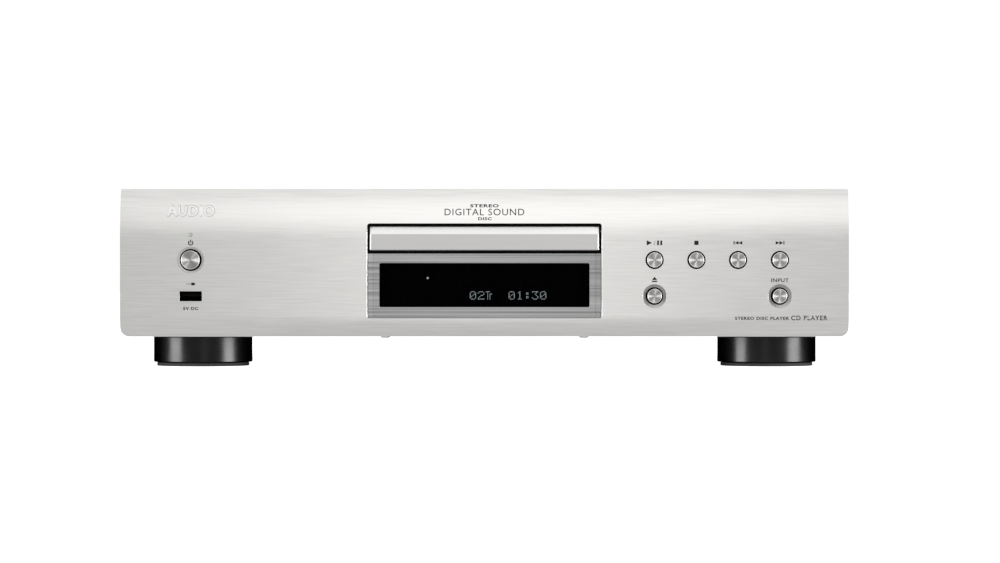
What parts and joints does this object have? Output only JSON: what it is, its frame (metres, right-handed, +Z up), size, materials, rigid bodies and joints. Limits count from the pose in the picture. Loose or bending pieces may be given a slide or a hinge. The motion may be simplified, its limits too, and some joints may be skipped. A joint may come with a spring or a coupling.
{
  "type": "cd player",
  "caption": "Full-width CD player with a brushed front, motor-driven disc tray, dark display window, push buttons and round feet.",
  "frame": {"origin": "on the floor, under the centre of the bounding box", "axes": "+X to the right seen from the front, +Y to the rear, +Z up; the tray opens along -Y"},
  "size_m": [0.434, 0.328, 0.1065],
  "materials": {
    "panel": "fine horizontal brushing, clear anodised",
    "bezel": "darker brushed",
    "spun_metal": "spun faces",
    "window": "dark tinted, polished",
    "black_moulding": "fine satin",
    "plated_steel": "zinc plated sheet",
    "rear_paint": "fine satin black",
    "cover_paint": "fine textured silver paint",
    "light_pipe": "translucent, faintly green",
    "circuit_board": "green solder mask",
    "laminated_iron": "varnished laminations",
    "heat_sink": "black anodised",
    "capacitor_sleeve": "shrink sleeve",
    "phono_sockets": "plated sleeves in a moulded block",
    "orange_moulding": "moulded",
    "white_moulding": "natural acetal",
    "brass": "turned",
    "rubber": "matte",
    "chrome": "ground and polished",
    "pickup_body": "filled moulding",
    "lens": "coated lens in its holder",
    "foot": "satin black, turned look"
  },
  "bodies": {
    "root": {"front_panel": "panel", "display_bezel": "bezel", "display_window": "window", "display_module": "black_moulding", "tray_collar": "black_moulding", "front_subframe": "black_moulding", "usb_port": "plated_steel", "power_light_pipe": "light_pipe", "left_control_board": "circuit_board", "right_control_board": "circuit_board", "main_board": "circuit_board", "power_board": "circuit_board", "chassis_pan": "plated_steel", "rear_panel": "rear_paint", "top_cover": "cover_paint", "power_transformer": "laminated_iron", "heat_sink": "heat_sink", "smoothing_capacitor_a": "capacitor_sleeve", "smoothing_capacitor_b": "capacitor_sleeve", "ac_inlet": "black_moulding", "optical_jack": "black_moulding", "remote_jack_block": "black_moulding", "rca_output_block": "phono_sockets", "coaxial_jack": "orange_moulding", "loader_frame": "black_moulding", "clamp_bridge": "plated_steel", "loading_motor": "plated_steel", "loading_belt": "rubber", "foot_front_left": "foot", "foot_pad_front_left": "rubber", "foot_front_right": "foot", "foot_pad_front_right": "rubber", "foot_rear_left": "foot", "foot_pad_rear_left": "rubber", "foot_rear_right": "foot", "foot_pad_rear_right": "rubber"},
    "tray": {"disc_tray": "black_moulding", "tray_front": "panel"},
    "drive_gear": {"tray_drive_gear": "white_moulding"},
    "pulley_gear": {"pulley_gear": "white_moulding"},
    "motor_pulley": {"motor_pulley": "brass"},
    "traverse": {"traverse_frame": "plated_steel", "spindle_motor": "plated_steel", "guide_rod_left": "chrome", "guide_rod_right": "chrome", "sled_motor": "plated_steel"},
    "turntable": {"turntable": "black_moulding"},
    "sled": {"sled_carriage": "pickup_body"},
    "lens": {"objective_lens": "lens"},
    "sled_gear": {"sled_gear": "white_moulding"},
    "sled_pinion": {"sled_pinion": "brass"},
    "clamper": {"clamper": "white_moulding"},
    "optical_shutter": {"optical_shutter": "black_moulding"},
    "power_button": {"power_button": "spun_metal"},
    "play_pause_button": {"play_pause_button": "spun_metal"},
    "stop_button": {"stop_button": "spun_metal"},
    "previous_button": {"previous_button": "spun_metal"},
    "next_button": {"next_button": "spun_metal"},
    "eject_button": {"eject_button": "spun_metal"},
    "input_button": {"input_button": "spun_metal"}
  },
  "joints": [
    {"name": "tray_slide", "type": "slide", "parent": "root", "child": "tray", "axis": [0, -1, 0], "range_m": [0, 0.138]},
    {"name": "drive_gear_spin", "type": "hinge", "parent": "root", "child": "drive_gear", "pos_m": [-0.042, -0.125, 0.0708], "axis": [0, 0, 1], "range_deg": [-2, 530]},
    {"name": "pulley_gear_spin", "type": "hinge", "parent": "root", "child": "pulley_gear", "pos_m": [-0.021, -0.125, 0.065], "axis": [0, 0, 1], "range_deg": [-1322, 2]},
    {"name": "motor_pulley_spin", "type": "hinge", "parent": "root", "child": "motor_pulley", "pos_m": [0.035, -0.125, 0.0615], "axis": [0, 0, 1], "range_deg": [-4710, 2]},
    {"name": "traverse_lift", "type": "hinge", "parent": "root", "child": "traverse", "pos_m": [0, -0.002, 0.06375], "axis": [1, 0, 0], "range_deg": [0, 5.4]},
    {"name": "turntable_spin", "type": "hinge", "parent": "traverse", "child": "turntable", "pos_m": [0, -0.088, 0.07], "axis": [0, 0, 1], "continuous": true},
    {"name": "clamper_spin", "type": "hinge", "parent": "root", "child": "clamper", "pos_m": [0, -0.088, 0.082], "axis": [0, 0, 1], "continuous": true},
    {"name": "sled_slide", "type": "slide", "parent": "traverse", "child": "sled", "axis": [0, 1, 0], "range_m": [0, 0.034]},
    {"name": "sled_gear_spin", "type": "hinge", "parent": "traverse", "child": "sled_gear", "pos_m": [0.026, -0.036, 0.0591], "axis": [0, 0, 1], "range_deg": [-250, 2]},
    {"name": "sled_pinion_spin", "type": "hinge", "parent": "traverse", "child": "sled_pinion", "pos_m": [0.026, -0.024, 0.0591], "axis": [0, 0, 1], "range_deg": [-2, 490]},
    {"name": "lens_focus", "type": "slide", "parent": "sled", "child": "lens", "axis": [0, 0, 1], "range_m": [-0.0007, 0.0007], "stiffness_N_per_m": 100},
    {"name": "optical_shutter_swing", "type": "hinge", "parent": "root", "child": "optical_shutter", "pos_m": [0.088, 0.1548, 0.0476], "axis": [-1, 0, 0], "range_deg": [0, 82], "stiffness_Nm_per_rad": 0.003, "springref_deg": -5.73},
    {"name": "power_press", "type": "slide", "parent": "root", "child": "power_button", "axis": [0, 1, 0], "range_m": [0, 0.0009], "stiffness_N_per_m": 1500, "springref_m": -0.0003},
    {"name": "play_pause_press", "type": "slide", "parent": "root", "child": "play_pause_button", "axis": [0, 1, 0], "range_m": [0, 0.0009], "stiffness_N_per_m": 1500, "springref_m": -0.0003},
    {"name": "stop_press", "type": "slide", "parent": "root", "child": "stop_button", "axis": [0, 1, 0], "range_m": [0, 0.0009], "stiffness_N_per_m": 1500, "springref_m": -0.0003},
    {"name": "previous_press", "type": "slide", "parent": "root", "child": "previous_button", "axis": [0, 1, 0], "range_m": [0, 0.0009], "stiffness_N_per_m": 1500, "springref_m": -0.0003},
    {"name": "next_press", "type": "slide", "parent": "root", "child": "next_button", "axis": [0, 1, 0], "range_m": [0, 0.0009], "stiffness_N_per_m": 1500, "springref_m": -0.0003},
    {"name": "eject_press", "type": "slide", "parent": "root", "child": "eject_button", "axis": [0, 1, 0], "range_m": [0, 0.0009], "stiffness_N_per_m": 1500, "springref_m": -0.0003},
    {"name": "input_press", "type": "slide", "parent": "root", "child": "input_button", "axis": [0, 1, 0], "range_m": [0, 0.0009], "stiffness_N_per_m": 1500, "springref_m": -0.0003}
  ],
  "couplings": [
    {"joint": "drive_gear_spin", "follows": "tray_slide", "rad_per_m": 66.667},
    {"joint": "pulley_gear_spin", "follows": "tray_slide", "rad_per_m": -166.67},
    {"joint": "motor_pulley_spin", "follows": "tray_slide", "rad_per_m": -594.02},
    {"joint": "traverse_lift", "follows": "tray_slide", "rad_per_m": 0.67},
    {"joint": "clamper_spin", "follows": "turntable_spin", "ratio": 1},
    {"joint": "sled_gear_spin", "follows": "sled_slide", "rad_per_m": -125},
    {"joint": "sled_pinion_spin", "follows": "sled_slide", "rad_per_m": 250}
  ]
}
